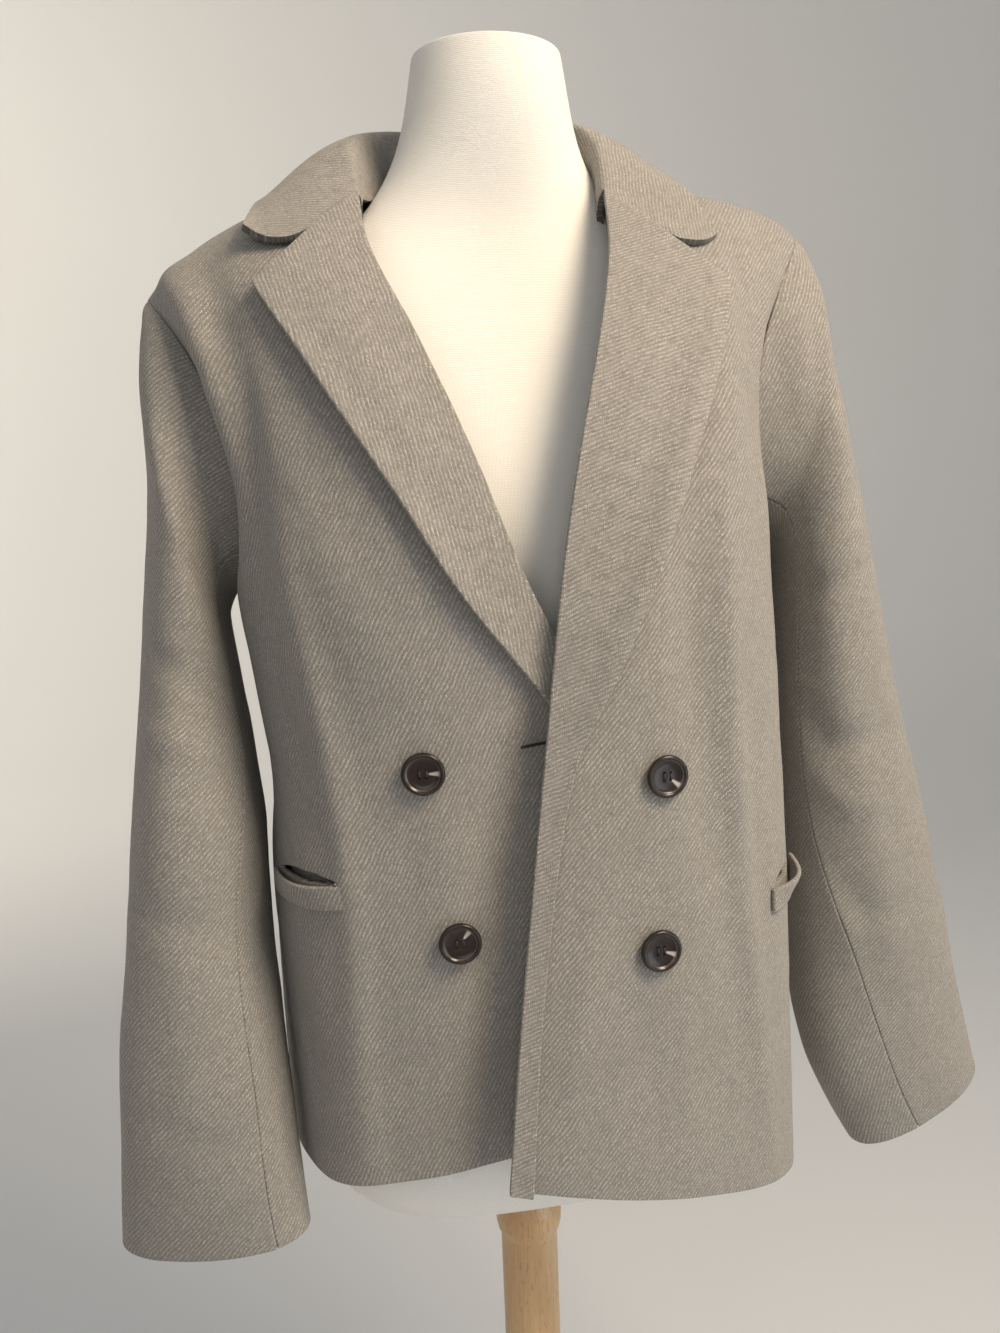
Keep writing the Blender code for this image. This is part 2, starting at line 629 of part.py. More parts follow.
def add_button(name, side, v, distance, finish, collection, cutters):
    """A turned horn button with a raised rim and four holes, flat against the front."""
    profile = [(BUTTON_RADIUS * far, BUTTON_HEIGHT * high) for far, high in BUTTON_PROFILE]
    button = turned(name, profile, BUTTON_SIDES, finish, collection)
    middle = from_edge(side, v, distance * MM)
    outward = (from_edge(side, v, distance * MM, 0.01) - middle).normalized()
    upright = (from_edge(side, v + 0.01, distance * MM) - middle).normalized()
    across = upright.cross(outward).normalized()
    turn = Matrix((across, outward.cross(across), outward)).transposed().to_4x4()
    seat = Matrix.Translation(middle + outward * (CLOTH / 2 + LAID * 0.7)) @ turn
    button.matrix_world = seat
    holes = bmesh.new()
    for x in (-1, 1):
        for y in (-1, 1):
            place = Matrix.Translation((x * HOLE_PLACE, y * HOLE_PLACE, BUTTON_HEIGHT / 2))
            bmesh.ops.create_cone(holes, cap_ends=True, segments=HOLE_SIDES, radius1=BUTTON_HOLE,
                                  radius2=BUTTON_HOLE, depth=BUTTON_HEIGHT * 3, matrix=place)
    mesh = bpy.data.meshes.new(name + "_holes")
    holes.to_mesh(mesh)
    holes.free()
    drill = bpy.data.objects.new(name + "_holes", mesh)
    drill.matrix_world = seat
    cutters.objects.link(drill)
    cut(button, drill)


# ---------------------------------------------------------------- putting the coat together
def build():
    for old in list(bpy.data.objects):
        bpy.data.objects.remove(old, do_unlink=True)
    parts = bpy.data.collections.new("tweed_peacoat")
    cutters = bpy.data.collections.new("cutters")
    for collection in (parts, cutters):
        bpy.context.scene.collection.children.link(collection)
    tweed = material("tweed", (0.30, 0.26, 0.21), 0.95)
    pressed = material("pressed tweed", (0.35, 0.31, 0.25), 0.95)
    jersey = material("white jersey", (0.85, 0.83, 0.78), 0.90)
    beech = material("light beech", (0.72, 0.53, 0.34), 0.45)
    horn = material("dark horn", (0.035, 0.022, 0.018), 0.25)

    fronts = {side: grid_points(lambda u, v: front(side, u, v), FRONT_STEPS) for side in TO_MIDDLE}
    behind = grid_points(lambda u, v: back(2 * u - 1, v), BACK_STEPS)
    body = surface_tree([(fronts["right"], False), (fronts["left"], True), (behind, True)])
    for side in ("right", "left"):
        flip = side == "left"
        panel = sheet("front_" + side, fronts[side], CLOTH, tweed, parts,
                      {"low u": SEAM, "high v": SHOULDER_GAP}, flip)
        add_pocket(side, panel, tweed, parts, cutters)
        rolled = grid_points(lambda u, v: lapel(side, u, v), LAPEL_STEPS)
        sheet("lapel_" + side, rolled, TURNED, pressed, parts, {"high v": SEAM}, not flip)
        for which in ("upper", "under"):
            half = grid_points(lambda u, v: sleeve_half(side, which, u, v), SLEEVE_STEPS)
            half = half[:1] + [[rest_on(point, body, CLOTH * (1.5 + 0.6 * ease(row / CAP_ROWS)))
                                for point in ring] for row, ring in enumerate(half[1:], 1)]
            sheet("sleeve_%s_%s" % (side, which), half, CLOTH, tweed, parts,
                  {"low u": SLEEVE_SEAM, "high u": SLEEVE_SEAM}, (which == "under") != flip)
    sheet("back", behind, CLOTH, tweed, parts, {"low u": SEAM, "high u": SEAM, "high v": SHOULDER_GAP}, True)
    fall = settle(grid_points(collar, COLLAR_STEPS), body, (CLOTH + TURNED) / 2 + LAID * 5, COLLAR_EASE)
    sheet("collar", fall, TURNED, pressed, parts)
    sheet("collar_stand", grid_points(collar_stand, STAND_STEPS), CLOTH, pressed, parts, flip=True)
    for name, side, v, distance in BUTTONS:
        add_button(name, side, v, distance, horn, parts, cutters)

    closed_loft("form_body", form_point, FORM_SIDES, FORM_ROWS, jersey, parts)
    post = [(POST_PROFILE.at(z)[0] * MM, z * MM) for z in POST_PROFILE.places]
    turned("stand_post", post, POST_SIDES, beech, parts)
    base = [(BASE_PROFILE.at(z)[0] * MM, z * MM) for z in BASE_PROFILE.places]
    turned("stand_base", base, BASE_SIDES, beech, parts)


build()
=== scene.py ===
"""The looks of a short double-breasted tweed coat on a limbless dress form with a turned wood stand.

Metres, +Z up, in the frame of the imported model: the coat's front faces -Y, the wearer's right is at
-X and the wearer's left, which laps over it, at +X. The tables of folds are in millimetres.
"""
import math

import bmesh
import bpy
from mathutils import Matrix, Vector, noise


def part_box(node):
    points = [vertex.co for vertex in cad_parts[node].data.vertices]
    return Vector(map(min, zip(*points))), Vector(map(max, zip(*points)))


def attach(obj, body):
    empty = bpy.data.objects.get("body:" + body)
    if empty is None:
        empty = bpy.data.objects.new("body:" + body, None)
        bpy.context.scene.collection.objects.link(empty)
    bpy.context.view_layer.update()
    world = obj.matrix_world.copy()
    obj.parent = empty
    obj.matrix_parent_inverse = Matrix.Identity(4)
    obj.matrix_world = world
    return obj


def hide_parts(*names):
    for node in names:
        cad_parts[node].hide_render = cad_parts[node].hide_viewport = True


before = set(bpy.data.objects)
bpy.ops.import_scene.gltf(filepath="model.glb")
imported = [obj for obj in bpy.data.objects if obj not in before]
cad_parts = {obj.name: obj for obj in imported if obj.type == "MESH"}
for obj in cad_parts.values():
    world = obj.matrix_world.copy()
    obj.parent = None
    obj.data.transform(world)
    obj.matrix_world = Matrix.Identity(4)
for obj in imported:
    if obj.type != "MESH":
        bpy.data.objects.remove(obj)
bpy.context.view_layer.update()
MM = 0.001


# ---------------------------------------------------------------- camera, light and floor
# The camera stands a little to the wearer's right of the middle, at chest height, and looks down.
camera_data = bpy.data.cameras.new("camera")
camera_data.sensor_width = 36.0
camera_data.lens = 36.0 * 1100 / 1333
camera = bpy.data.objects.new("camera", camera_data)
bpy.context.scene.collection.objects.link(camera)
stand_round = Matrix.Rotation(math.radians(-10.0), 4, "Z")
look_down = Matrix.Rotation(math.radians(90.0 - 9.6), 4, "X")
lean = Matrix.Rotation(math.radians(-2.2), 4, "Z")
camera.matrix_world = stand_round @ Matrix.Translation((-0.006, -0.785, 1.225)) @ look_down @ lean
bpy.context.scene.camera = camera


def add_lamp(name, place, target, size, power, colour):
    """A soft square lamp that points at a target."""
    lamp_data = bpy.data.lights.new(name, "AREA")
    lamp_data.size = size
    lamp_data.energy = power
    lamp_data.color = colour
    lamp = bpy.data.objects.new(name, lamp_data)
    lamp.matrix_world = (Matrix.Translation(place)
                         @ (Vector(target) - Vector(place)).to_track_quat("-Z", "Y").to_matrix().to_4x4())
    bpy.context.scene.collection.objects.link(lamp)


add_lamp("warm_key", (0.80, -0.95, 2.30), (0.03, 0.0, 1.32), 0.75, 38.0, (1.0, 0.84, 0.64))
add_lamp("cool_fill", (1.7, -1.6, 0.8), (0.05, 0.0, 0.90), 1.4, 15.0, (0.80, 0.91, 1.0))
add_lamp("chest_fill", (-0.7, -2.0, 1.6), (0.02, 0.0, 1.20), 1.3, 8.0, (0.95, 0.97, 1.0))
add_lamp("warm_wall", (-2.2, 1.5, 3.6), (-3.6, 6.6, 3.4), 1.6, 190.0, (1.0, 0.90, 0.74))
world = bpy.data.worlds.new("studio")
world.use_nodes = True
world.node_tree.nodes["Background"].inputs["Color"].default_value = (0.93, 0.96, 1.0, 1.0)
world.node_tree.nodes["Background"].inputs["Strength"].default_value = 0.50
bpy.context.scene.world = world
bpy.context.scene.view_settings.view_transform = "Standard"


class Wire:
    """A socket of a material's nodes, on which Python's operators add Math nodes."""

    def __init__(self, finish, socket):
        self.finish, self.socket = finish, socket

    def math(self, operation, *values):
        return self.finish.node("ShaderNodeMath", {"operation": operation}, dict(enumerate(values)))

    def __add__(self, other):
        return self.math("ADD", self, other)

    def __sub__(self, other):
        return self.math("SUBTRACT", self, other)

    def __rsub__(self, other):
        return self.math("SUBTRACT", other, self)

    def __mul__(self, other):
        return self.math("MULTIPLY", self, other)

    def __truediv__(self, other):
        return self.math("DIVIDE", self, other)

    def __pow__(self, other):
        return self.math("POWER", self, other)

    __radd__, __rmul__ = __add__, __mul__

    def floor(self):
        return self.math("FLOOR", self)

    def part(self):
        """What is left after the whole number."""
        return self.math("FRACT", self)

    def arch(self):
        """0 at both ends of 0 to 1, and 1 in the middle."""
        return (self * math.pi).sine()

    def sine(self):
        return self.math("SINE", self)

    def cosine(self):
        return self.math("COSINE", self)

    def turn_from(self, across):
        """The angle of a point that is this far up and that far across."""
        return self.math("ARCTAN2", self, across)

    def least(self, other):
        return self.math("MINIMUM", self, other)

    def most(self, other):
        return self.math("MAXIMUM", self, other)

    def step(self, low, high):
        """0 below low, 1 above high, and smooth between."""
        return self.finish.node("ShaderNodeMapRange", {"interpolation_type": "SMOOTHSTEP"},
                                {"Value": self, "From Min": low, "From Max": high})


class Finish:
    """A material with one Principled shader; constants are set on the shader's own sockets."""

    def __init__(self, name, roughness, **fixed):
        self.material = bpy.data.materials.new(name)
        self.material.use_nodes = True
        self.tree = self.material.node_tree
        self.shader = self.tree.nodes["Principled BSDF"]
        self.shader.inputs["Roughness"].default_value = roughness
        for socket, value in fixed.items():
            self.shader.inputs[socket.replace("_", " ")].default_value = value

    def node(self, kind, settings, sockets, output=0):
        made = self.tree.nodes.new(kind)
        for name, value in settings.items():
            setattr(made, name, value)
        for name, value in sockets.items():
            if isinstance(value, Wire):
                self.tree.links.new(value.socket, made.inputs[name])
            else:
                made.inputs[name].default_value = value
        return Wire(self, made.outputs[output])

    def noise(self, place, scale, detail=2.0, roughness=0.5, output=0):
        return self.node("ShaderNodeTexNoise", {}, {"Vector": place, "Scale": scale, "Detail": detail,
                                                    "Roughness": roughness}, output)

    def axis(self, vector, name):
        """One coordinate of a vector."""
        return self.node("ShaderNodeSeparateXYZ", {}, {"Vector": vector}, name)

    def blend(self, factor, first, second):
        """One colour turning into another."""
        colours = {name: value if isinstance(value, Wire) else (*value, 1.0)
                   for name, value in ((6, first), (7, second))}
        return self.node("ShaderNodeMix", {"data_type": "RGBA"}, {0: factor, **colours}, 2)

    def feed(self, socket, value):
        self.tree.links.new(value.socket, self.shader.inputs[socket])

    def relief(self, height, distance, strength=1.0):
        bump = self.node("ShaderNodeBump", {}, {"Height": height, "Distance": distance,
                                                "Strength": strength})
        self.feed("Normal", bump)


def add_piece(name, mesh, finish, slot=None, replaced=()):
    """A finished piece in the coat's frame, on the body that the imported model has."""
    mesh.materials.append(finish)
    mesh.shade_smooth()
    piece = bpy.data.objects.new(name, mesh)
    bpy.context.scene.collection.objects.link(piece)
    if slot:
        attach(piece, "root")
    if replaced:
        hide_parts(*replaced)
    return piece


def to_mesh(name, shape):
    """A bmesh becomes a mesh."""
    mesh = bpy.data.meshes.new(name)
    shape.to_mesh(mesh)
    shape.free()
    return mesh


def floor_finish():
    """Plain pale paint with a very faint cloudiness."""
    plain = Finish("pale_floor", 0.85)
    place = plain.node("ShaderNodeTexCoord", {}, {}, "Object")
    cloud = plain.noise(place, 0.8, 3.0)
    plain.feed("Base Color", plain.blend(cloud, (0.72, 0.72, 0.72), (0.75, 0.75, 0.75)))
    return plain.material


# The floor is a wide pale dish that rises all round far behind the camera, so no edge shows.
DISH_FLOOR, DISH_BEND, DISH_WALL = 4.5, 2.5, 9.0
dish_shape = bmesh.new()
rim = [Vector((0, 0, 0)), Vector((DISH_FLOOR, 0, 0))]
rim += [Vector((DISH_FLOOR + DISH_BEND * math.sin(angle), 0, DISH_BEND * (1 - math.cos(angle))))
        for angle in (math.pi / 2 * (k + 1) / 10 for k in range(10))]
rim.append(rim[-1] + Vector((0, 0, DISH_WALL)))
corners = [dish_shape.verts.new(place) for place in rim]
edges = [dish_shape.edges.new(pair) for pair in zip(corners, corners[1:])]
bmesh.ops.spin(dish_shape, geom=corners + edges, cent=(0, 0, 0), axis=(0, 0, 1), dvec=(0, 0, 0),
               angle=2 * math.pi, steps=64, use_merge=True)
bmesh.ops.remove_doubles(dish_shape, verts=dish_shape.verts, dist=0.0001)
add_piece("floor", to_mesh("floor", dish_shape), floor_finish())


# ---------------------------------------------------------------- wood post and base
# The form's stand is beech turned on a lathe and varnished: a straight post with a bead just under
# the form, and a round foot with a softened step. The post is glued into the foot.
POST = ((0.0, 0.030), (0.0315, 0.030), (0.0300, 0.036), (0.0262, 0.044), (0.0232, 0.056),
        (0.0220, 0.070), (0.0220, 0.360), (0.0220, 0.625), (0.0220, 0.641), (0.0226, 0.6430),
        (0.0243, 0.6465), (0.0253, 0.6515), (0.0257, 0.6570), (0.0253, 0.6625), (0.0240, 0.6675),
        (0.0224, 0.6700), (0.0220, 0.6720), (0.0220, 0.7125), (0.0, 0.7127))
BASE = ((0.0, 0.0), (0.166, 0.0), (0.1695, 0.0015), (0.170, 0.004), (0.1685, 0.0085), (0.163, 0.0125),
        (0.155, 0.0150), (0.130, 0.0185), (0.095, 0.0225), (0.060, 0.0262), (0.034, 0.0297),
        (0.0, 0.0297))


def turn_profile(profile, steps):
    """A profile of (radius, height) spun about the Z axis into a closed solid."""
    shape = bmesh.new()
    corners = [shape.verts.new((radius, 0, height)) for radius, height in profile]
    edges = [shape.edges.new(pair) for pair in zip(corners, corners[1:])]
    bmesh.ops.spin(shape, geom=corners + edges, cent=(0, 0, 0), axis=(0, 0, 1), dvec=(0, 0, 0),
                   angle=2 * math.pi, steps=steps, use_merge=True)
    bmesh.ops.remove_doubles(shape, verts=shape.verts, dist=0.00001)
    bmesh.ops.recalc_face_normals(shape, faces=shape.faces)
    return shape


def beech_finish(name, spin):
    """Beech: long soft grain along the piece, with the short dark flecks that beech has."""
    wood = Finish(name, 0.38, Coat_Weight=0.35, Coat_Roughness=0.25)
    place = wood.node("ShaderNodeTexCoord", {}, {}, "Object")
    board = wood.node("ShaderNodeMapping", {}, {"Vector": place, "Rotation": spin,
                                                "Scale": (1.0, 1.0, 0.10)})
    warp = wood.noise(board, 14.0, 3.0, 0.5)
    rings = wood.node("ShaderNodeTexWave", {"wave_type": "RINGS", "rings_direction": "Y"},
                      {"Vector": board, "Scale": 16.0, "Distortion": 5.0, "Detail": 2.0,
                       "Detail Scale": 1.2})
    fine = wood.noise(wood.node("ShaderNodeMapping", {}, {"Vector": place, "Rotation": spin,
                                                          "Scale": (1.0, 1.0, 0.035)}), 900.0, 2.0)
    fleck = wood.noise(wood.node("ShaderNodeMapping", {}, {"Vector": place, "Rotation": spin,
                                                           "Scale": (1.0, 1.0, 0.22)}), 620.0, 1.0)
    tone = (rings * 0.55 + warp * 0.45)
    colour = wood.blend(tone, (0.50, 0.295, 0.130), (0.66, 0.435, 0.225))
    colour = wood.blend(fine.step(0.30, 0.72) * 0.45, colour, (0.42, 0.235, 0.100))
    colour = wood.blend(fleck.step(0.62, 0.72) * 0.5, colour, (0.30, 0.150, 0.060))
    wood.feed("Base Color", colour)
    wood.feed("Roughness", 0.34 + fine * 0.16)
    wood.relief(fine * 0.5 + tone * 0.5, 0.00012)
    return wood.material


post_piece = add_piece("wood_post", to_mesh("wood_post", turn_profile(POST, 64)),
                       beech_finish("beech_post", (0.0, 0.0, 0.4)), "beech", ["stand_post"])
post_edge = post_piece.modifiers.new("round", "BEVEL")
post_edge.width, post_edge.segments, post_edge.limit_method = 0.0006, 2, "ANGLE"
add_piece("wood_base", to_mesh("wood_base", turn_profile(BASE, 128)),
          beech_finish("beech_base", (math.pi / 2, 0.0, 0.3)), "beech", ["stand_base"])


# ---------------------------------------------------------------- dress form
# A padded body without limbs, covered with off-white jersey that is pulled tight, gathered under
# the waist's foot and over the flat top of the neck.
WELD = 0.00002


def welded(node):
    """A copy of a CAD node's mesh with its loose triangles merged."""
    shape = bmesh.new()
    shape.from_mesh(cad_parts[node].data)
    bmesh.ops.remove_doubles(shape, verts=shape.verts, dist=WELD)
    return shape


def as_quads(shape):
    """Pairs of triangles become the quads that they were cut from."""
    bmesh.ops.join_triangles(shape, faces=shape.faces, angle_face_threshold=math.radians(40),
                             angle_shape_threshold=math.radians(60))


def smoothed(name, mesh, levels):
    """A mesh after Subdivision Surface, with its corners and its open edges kept."""
    rough = bpy.data.objects.new(name + "_rough", mesh)
    bpy.context.scene.collection.objects.link(rough)
    fine = rough.modifiers.new("smooth", "SUBSURF")
    fine.levels = fine.render_levels = levels
    fine.boundary_smooth = "PRESERVE_CORNERS"
    made = bpy.data.meshes.new_from_object(rough.evaluated_get(bpy.context.evaluated_depsgraph_get()))
    bpy.data.objects.remove(rough, do_unlink=True)
    made.name = name
    return made


WALES, COURSES = 118.0, 900.0   # stitches in a radian round the form, and rows in a metre


def jersey_finish():
    """Fine off-white jersey: rows of tiny stitches, a little lint and very soft shading."""
    knit = Finish("white_jersey", 0.92, Sheen_Weight=0.25, Sheen_Roughness=0.6)
    place = knit.node("ShaderNodeTexCoord", {}, {}, "Object")
    round_form = knit.axis(place, "Y").turn_from(knit.axis(place, "X"))
    wale = (round_form * WALES).part().arch()
    course = (knit.axis(place, "Z") * COURSES + wale * 0.35).part().arch()
    lint = knit.noise(place, 260.0, 3.0)
    cloud = knit.noise(place, 9.0, 2.0)
    colour = knit.blend(wale * course, (0.70, 0.67, 0.615), (0.86, 0.835, 0.785))
    colour = knit.blend(cloud * 0.25, colour, (0.80, 0.77, 0.71))
    colour = knit.blend(lint.step(0.66, 0.74) * 0.35, colour, (0.93, 0.92, 0.89))
    knit.feed("Base Color", colour)
    knit.relief(wale * course * 0.7 + lint * 0.5, 0.00022)
    return knit.material


form_shape = welded("form_body")
caps = [face for face in form_shape.faces if abs(face.normal.z) > 0.995]
bmesh.ops.delete(form_shape, geom=caps, context="FACES")
as_quads(form_shape)
form_low, form_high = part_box("form_body")
for rim_z, side, rings in ((form_high.z, 1, ((0.985, 0.0), (0.955, -0.0006), (0.55, -0.0012))),
                           (form_low.z, -1, ((0.975, 0.0), (0.93, 0.0), (0.45, 0.0)))):
    loop = [edge for edge in form_shape.edges if edge.is_boundary
            and all(abs(vertex.co.z - rim_z) < 0.001 for vertex in edge.verts)]
    for scale, rise in rings + ((0.0, rings[-1][1]),):
        corners = {vertex for edge in loop for vertex in edge.verts}
        middle = sum((vertex.co for vertex in corners), Vector()) / len(corners)
        grown = bmesh.ops.extrude_edge_only(form_shape, edges=loop)["geom"]
        loop = [part for part in grown if isinstance(part, bmesh.types.BMEdge)]
        fresh = [part for part in grown if isinstance(part, bmesh.types.BMVert)]
        reach = max((vertex.co - middle).length for vertex in fresh)
        for vertex in fresh:
            flat = vertex.co - middle
            vertex.co = middle + flat * (scale if scale < 0.9 else 1 - (1 - scale) * reach / flat.length)
            vertex.co.z = rim_z + rise
        loop = [edge for edge in loop if edge.is_boundary]
bmesh.ops.remove_doubles(form_shape, verts=form_shape.verts, dist=WELD)
bmesh.ops.recalc_face_normals(form_shape, faces=form_shape.faces)
add_piece("jersey_form", smoothed("jersey_form", to_mesh("form_cage", form_shape), 2), jersey_finish(),
          "jersey", ["form_body"])


# ---------------------------------------------------------------- fronts
# Each front is cut in one piece from heavy heathered twill tweed and pressed into its shape. It is
# sewn to the back along the shoulder and the side, and its edge is turned with the lapel's facing.
CLOTH = 0.003
RIM = 0.0011
BEND = math.radians(50)      # faces of one side of a wall meet at less than this
CORNER = math.radians(135)   # the edges of a sheet's corner meet at less than this
SEAM_EASE = 0.0006           # how far each sheet reaches into its seams


def outer_sheet(node, facing):
    """The side of a CAD wall that looks the given way, as an open bmesh."""
    shape = welded(node)
    left, sides = set(shape.faces), []
    while left:
        border, patch = [left.pop()], set()
        while border:
            face = border.pop()
            patch.add(face)
            for edge in face.edges:
                for other in edge.link_faces:
                    if other in left and other.normal.angle(face.normal, 0.0) < BEND:
                        left.discard(other)
                        border.append(other)
        sides.append(patch)
    sides.sort(key=lambda patch: -sum(face.calc_area() for face in patch))
    shown = max(sides[:2], key=lambda patch: sum(face.normal.dot(facing) * face.calc_area()
                                                 for face in patch))
    bmesh.ops.delete(shape, geom=[face for face in shape.faces if face not in shown], context="FACES")
    as_quads(shape)
    return shape


def keep_corners(shape):
    """The corners of an open sheet stay sharp when it is smoothed."""
    sharp = shape.verts.layers.float.new("crease_vert")
    for vertex in shape.verts:
        along = [edge.other_vert(vertex).co - vertex.co for edge in vertex.link_edges if edge.is_boundary]
        if len(along) == 2 and along[0].angle(along[1]) < CORNER:
            vertex[sharp] = 1.0


def ease_out(mesh, distance):
    """Move the open edges of a sheet outwards along the cloth, to close its seams."""
    shape = bmesh.new()
    shape.from_mesh(mesh)
    moves = {}
    for edge in shape.edges:
        if edge.is_boundary:
            face = edge.link_faces[0]
            away = (edge.verts[1].co - edge.verts[0].co).cross(face.normal).normalized()
            if away.dot(face.calc_center_median() - edge.verts[0].co) > 0:
                away.negate()
            for vertex in edge.verts:
                moves[vertex] = moves.get(vertex, Vector()) + away
    for vertex, away in moves.items():
        vertex.co += away.normalized() * distance
    shape.to_mesh(mesh)
    shape.free()


def lay_flat(mesh):
    """Give the sheet a UV map as it was cut: unwrapped, in metres, with V up the piece."""
    cut = bpy.data.objects.new("cut", mesh)
    bpy.context.scene.collection.objects.link(cut)
    mesh.uv_layers.new(name="cut")
    bpy.ops.object.select_all(action="DESELECT")
    bpy.context.view_layer.objects.active = cut
    cut.select_set(True)
    bpy.ops.object.mode_set(mode="EDIT")
    bpy.ops.mesh.select_all(action="SELECT")
    bpy.ops.uv.unwrap(method="ANGLE_BASED", margin=0.0)
    bpy.ops.object.mode_set(mode="OBJECT")
    bpy.data.objects.remove(cut, do_unlink=True)
    corners = [(layer.uv.copy(), mesh.vertices[loop.vertex_index].co)
               for layer, loop in zip(mesh.uv_layers["cut"].data, mesh.loops)]
    flat_area = 0.0
    for face in mesh.polygons:
        ring = [corners[k][0] for k in face.loop_indices]
        flat_area += abs(sum(a.x * b.y - b.x * a.y for a, b in zip(ring, ring[1:] + ring[:1]))) / 2
    scale = math.sqrt(sum(face.area for face in mesh.polygons) / flat_area)
    middle = sum((uv for uv, _ in corners), Vector((0, 0))) / len(corners)
    height = sum(place.z for _, place in corners) / len(corners)
    away = [(uv - middle, place.z - height) for uv, place in corners]
    spread_x, spread_y = (sum(uv[k] ** 2 for uv, _ in away) for k in (0, 1))
    shared = sum(uv.x * uv.y for uv, _ in away)
    rise_x, rise_y = (sum(uv[k] * rise for uv, rise in away) for k in (0, 1))
    up = Vector((rise_x * spread_y - rise_y * shared, rise_y * spread_x - rise_x * shared)).normalized()
    for layer, (uv, _) in zip(mesh.uv_layers["cut"].data, away):
        layer.uv = Vector((uv.x * up.y - uv.y * up.x, uv.x * up.x + uv.y * up.y)) * scale


def along_fold(point, path):
    """How far a point is from a bent path, and how far along it is, 0 to 1."""
    best, total = (1e9, 0.0), len(path) - 1
    for k, (start, end) in enumerate(zip(path, path[1:])):
        run = end - start
        t = max(0.0, min(1.0, (point - start).dot(run) / run.length_squared))
        best = min(best, ((start + run * t - point).length, (k + t) / total))
    return best


FOLD_REACH = 2.6             # a fold is nothing beyond this many of its widths
FOLD_END = 0.35              # the share of its depth that a fold still has at its ends
WAVES = ((22, 0.0007), (70, 0.00018))   # unevenness of the cloth: how close, and how high


def press_folds(mesh, folds, seed):
    """Move a sheet's points along its normals: listed folds and a slight unevenness."""
    rows = [([Vector(p) * MM for p in path], depth * MM, width * MM) for path, depth, width in folds]
    normals = [vertex.normal.copy() for vertex in mesh.vertices]
    for vertex, normal in zip(mesh.vertices, normals):
        lift = 0.0
        for path, depth, width in rows:
            apart, t = along_fold(vertex.co, path)
            if apart < width * FOLD_REACH:
                fade = FOLD_END + (1 - FOLD_END) * math.sin(math.pi * t)
                lift += depth * math.exp(-(apart / width) ** 2) * fade
        place = vertex.co + Vector((seed, 0, 0))
        lift += sum(noise.noise(place * scale) * height for scale, height in WAVES)
        vertex.co += normal * lift


YARN = 0.88                  # millimetres from one yarn to the next, in warp and in weft


def tweed_finish(name, degrees, fuzz=0.34, light=1.0):
    """Two-and-two twill of light warp over darker weft, its grain turned on the piece, under a nap."""
    wool = Finish(name, 0.95, Sheen_Weight=0.18, Sheen_Roughness=0.5,
                  Sheen_Tint=(1.0, 0.95, 0.88, 1.0))

    def wool_tone(red, green, blue):
        return red * light, green * light, blue * light

    flat = wool.node("ShaderNodeUVMap", {"uv_map": "cut"}, {})
    place = wool.node("ShaderNodeMapping", {}, {"Vector": flat, "Scale": (1000.0, 1000.0, 1000.0),
                                                "Rotation": (0.0, 0.0, math.radians(degrees))})
    across, along = wool.axis(place, "X"), wool.axis(place, "Y")
    sway = wool.noise(place, 0.05, 1.0) - 0.5
    shake = wool.noise(place, 0.42, 2.0, 0.6) - 0.5
    slip = wool.axis(wool.noise(place, 0.47, 2.0, 0.6, output=1), "Y") - 0.5
    warp_place = (across + sway * 5.0 + shake * 1.5) / YARN
    weft_place = (along + slip * 2.0) / YARN
    column, row = warp_place.floor(), weft_place.floor()
    turn = ((weft_place - column) / 4.0).part()
    warp_over = (turn * 2.0).least(1.0).arch() ** 0.5 * (warp_place.part().arch() ** 0.5)
    weft_over = (weft_place.part().arch() ** 0.6) * (turn * 2.0 - 1.0).most(0.0).arch()
    yarn_number = wool.node("ShaderNodeTexWhiteNoise", {"noise_dimensions": "2D"}, {
        "Vector": wool.node("ShaderNodeCombineXYZ", {},
                            {"X": column, "Y": ((weft_place - column) / 4.0).floor()})})
    weft_number = wool.node("ShaderNodeTexWhiteNoise", {"noise_dimensions": "1D"}, {"W": row})
    heather = wool.noise(place, 0.75, 3.0, 0.65)
    speck = wool.noise(place, 1.25, 2.0, 0.7)
    cloud = wool.noise(place, 0.030, 3.0)
    hair = wool.noise(place, 2.2, 3.0, 0.75)
    cover = wool.noise(place, 0.13, 3.0, 0.65).step(0.30, 0.74) * fuzz
    shade = wool.blend(heather.step(0.3, 0.7), wool_tone(0.115, 0.107, 0.096),
                       wool_tone(0.200, 0.185, 0.165))
    shade = wool.blend(weft_over * (0.45 + weft_number * 0.4), shade, wool_tone(0.285, 0.262, 0.235))
    shade = wool.blend(warp_over.step(0.10, 0.85) * (0.28 + yarn_number * 0.58), shade,
                       wool_tone(0.62, 0.572, 0.508))
    shade = wool.blend(cover + hair.step(0.50, 0.80) * 0.32, shade, wool_tone(0.335, 0.310, 0.276))
    shade = wool.blend(speck.step(0.56, 0.70) * 0.42, shade, wool_tone(0.150, 0.138, 0.124))
    shade = wool.blend(heather.step(0.58, 0.74) * 0.30, shade,
                       wool_tone(0.52, 0.485, 0.440))
    shade = wool.blend(yarn_number.step(0.90, 0.97) * warp_over * 0.6, shade, (0.135, 0.105, 0.085))
    shade = wool.blend(cloud.step(0.35, 0.75) * 0.20, shade, wool_tone(0.21, 0.196, 0.178))
    wool.feed("Base Color", shade)
    height = warp_over * (1.0 - cover) + weft_over * 0.55 + hair * 0.6 + heather * 0.4 + speck * 0.3
    wool.relief(height, 0.00050, 0.75)
    return wool.material


